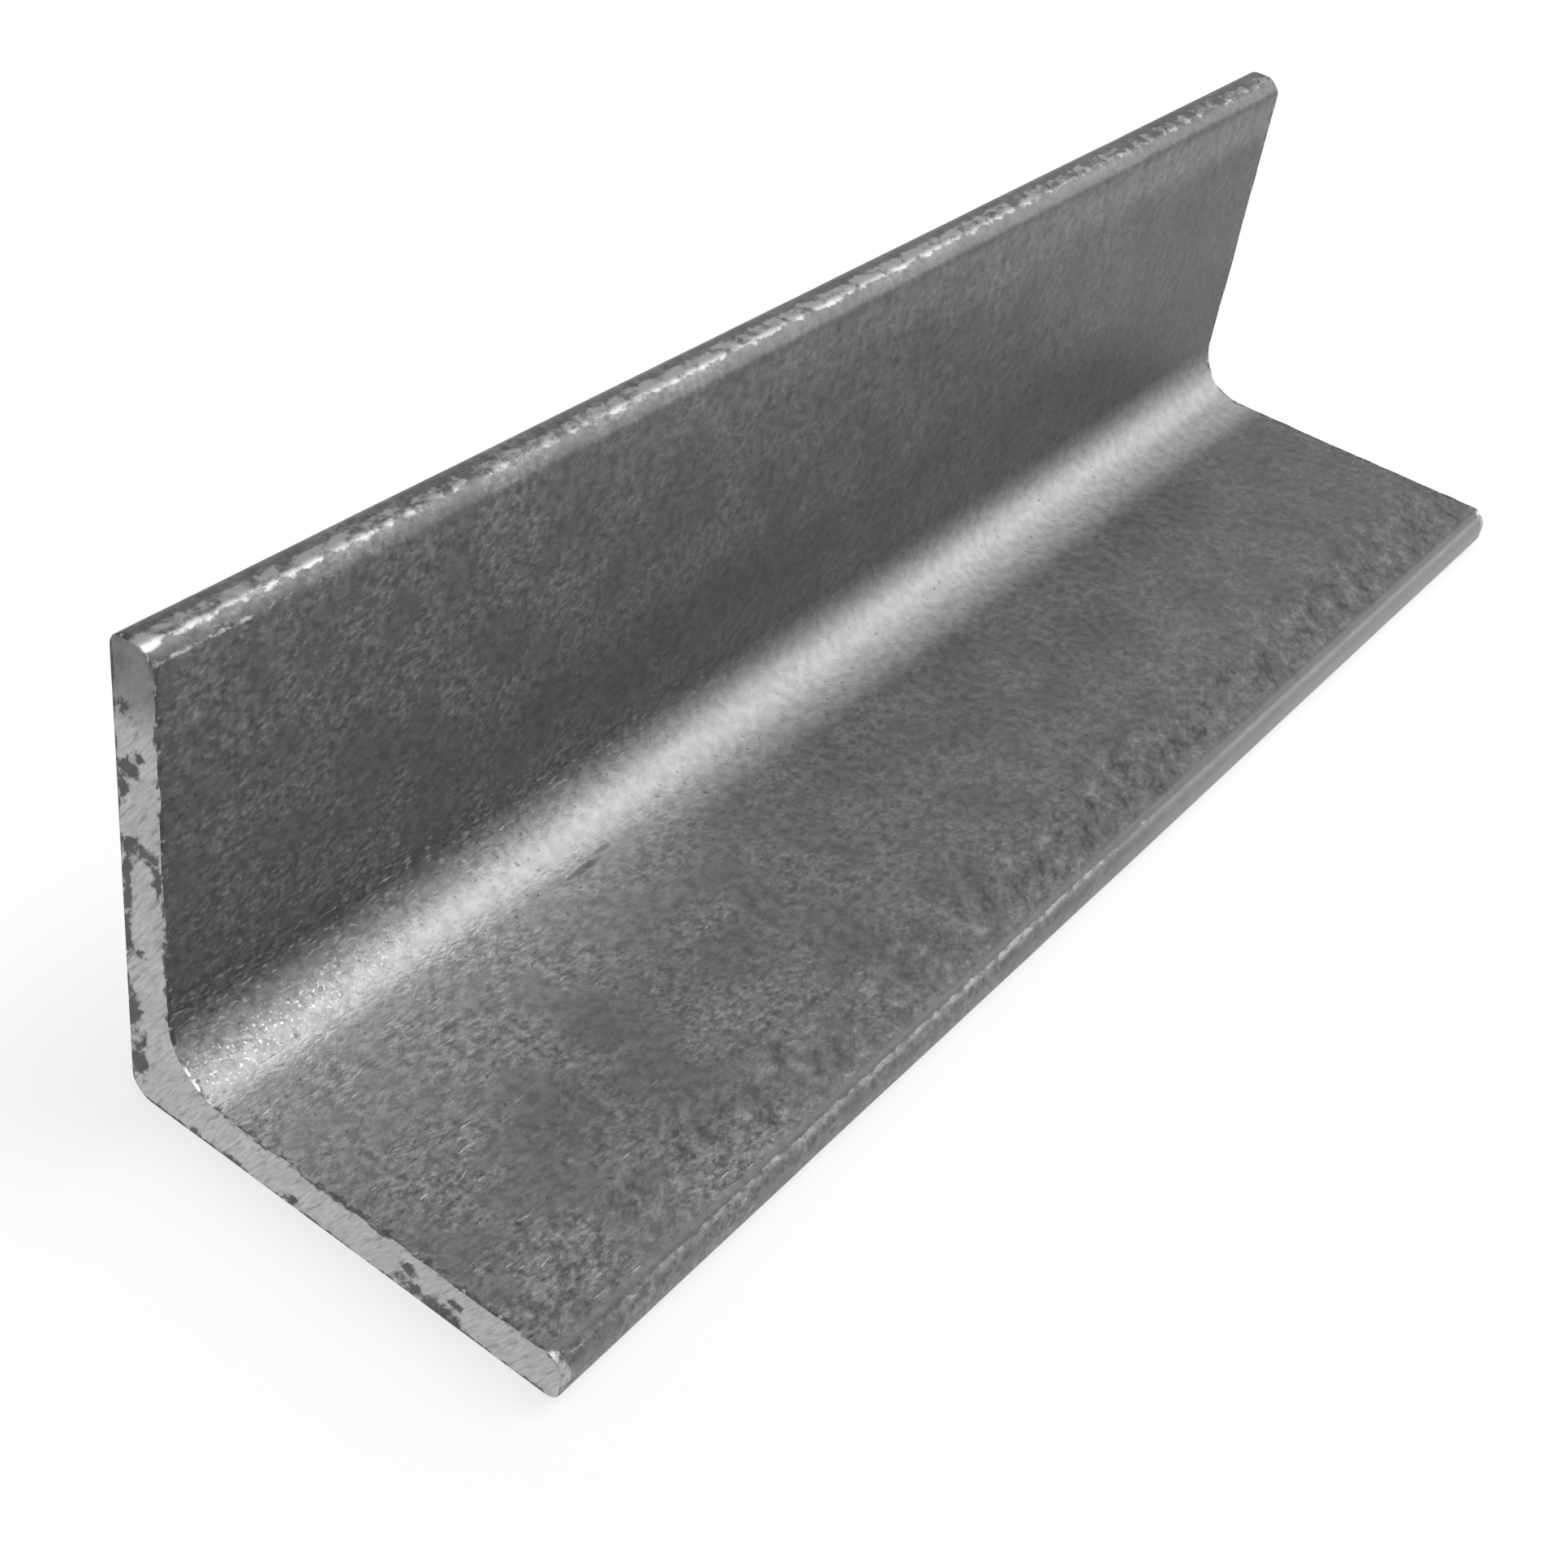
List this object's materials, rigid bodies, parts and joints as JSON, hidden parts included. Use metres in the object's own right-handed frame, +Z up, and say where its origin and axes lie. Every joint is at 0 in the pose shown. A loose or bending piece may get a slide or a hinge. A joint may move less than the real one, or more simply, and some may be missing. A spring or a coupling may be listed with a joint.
{
  "type": "metal angle section",
  "caption": "Straight length of equal-leg rolled steel angle with a filleted root, rounded toes and square sawn ends, for frames, brackets and supports.",
  "frame": {"origin": "middle of the underside of the bounding box, on the floor under the lying leg", "axes": "+Y along the length, +Z up along the upright leg, +X from the heel towards the toe of the lying leg"},
  "size_m": [0.05, 0.19, 0.05],
  "materials": {
    "mill_scale_steel": "hot-rolled with dark mill scale, worn bright along the toe edges, bare sawn ends"
  },
  "bodies": {
    "root": {"angle_section": "mill_scale_steel"}
  },
  "joints": []
}
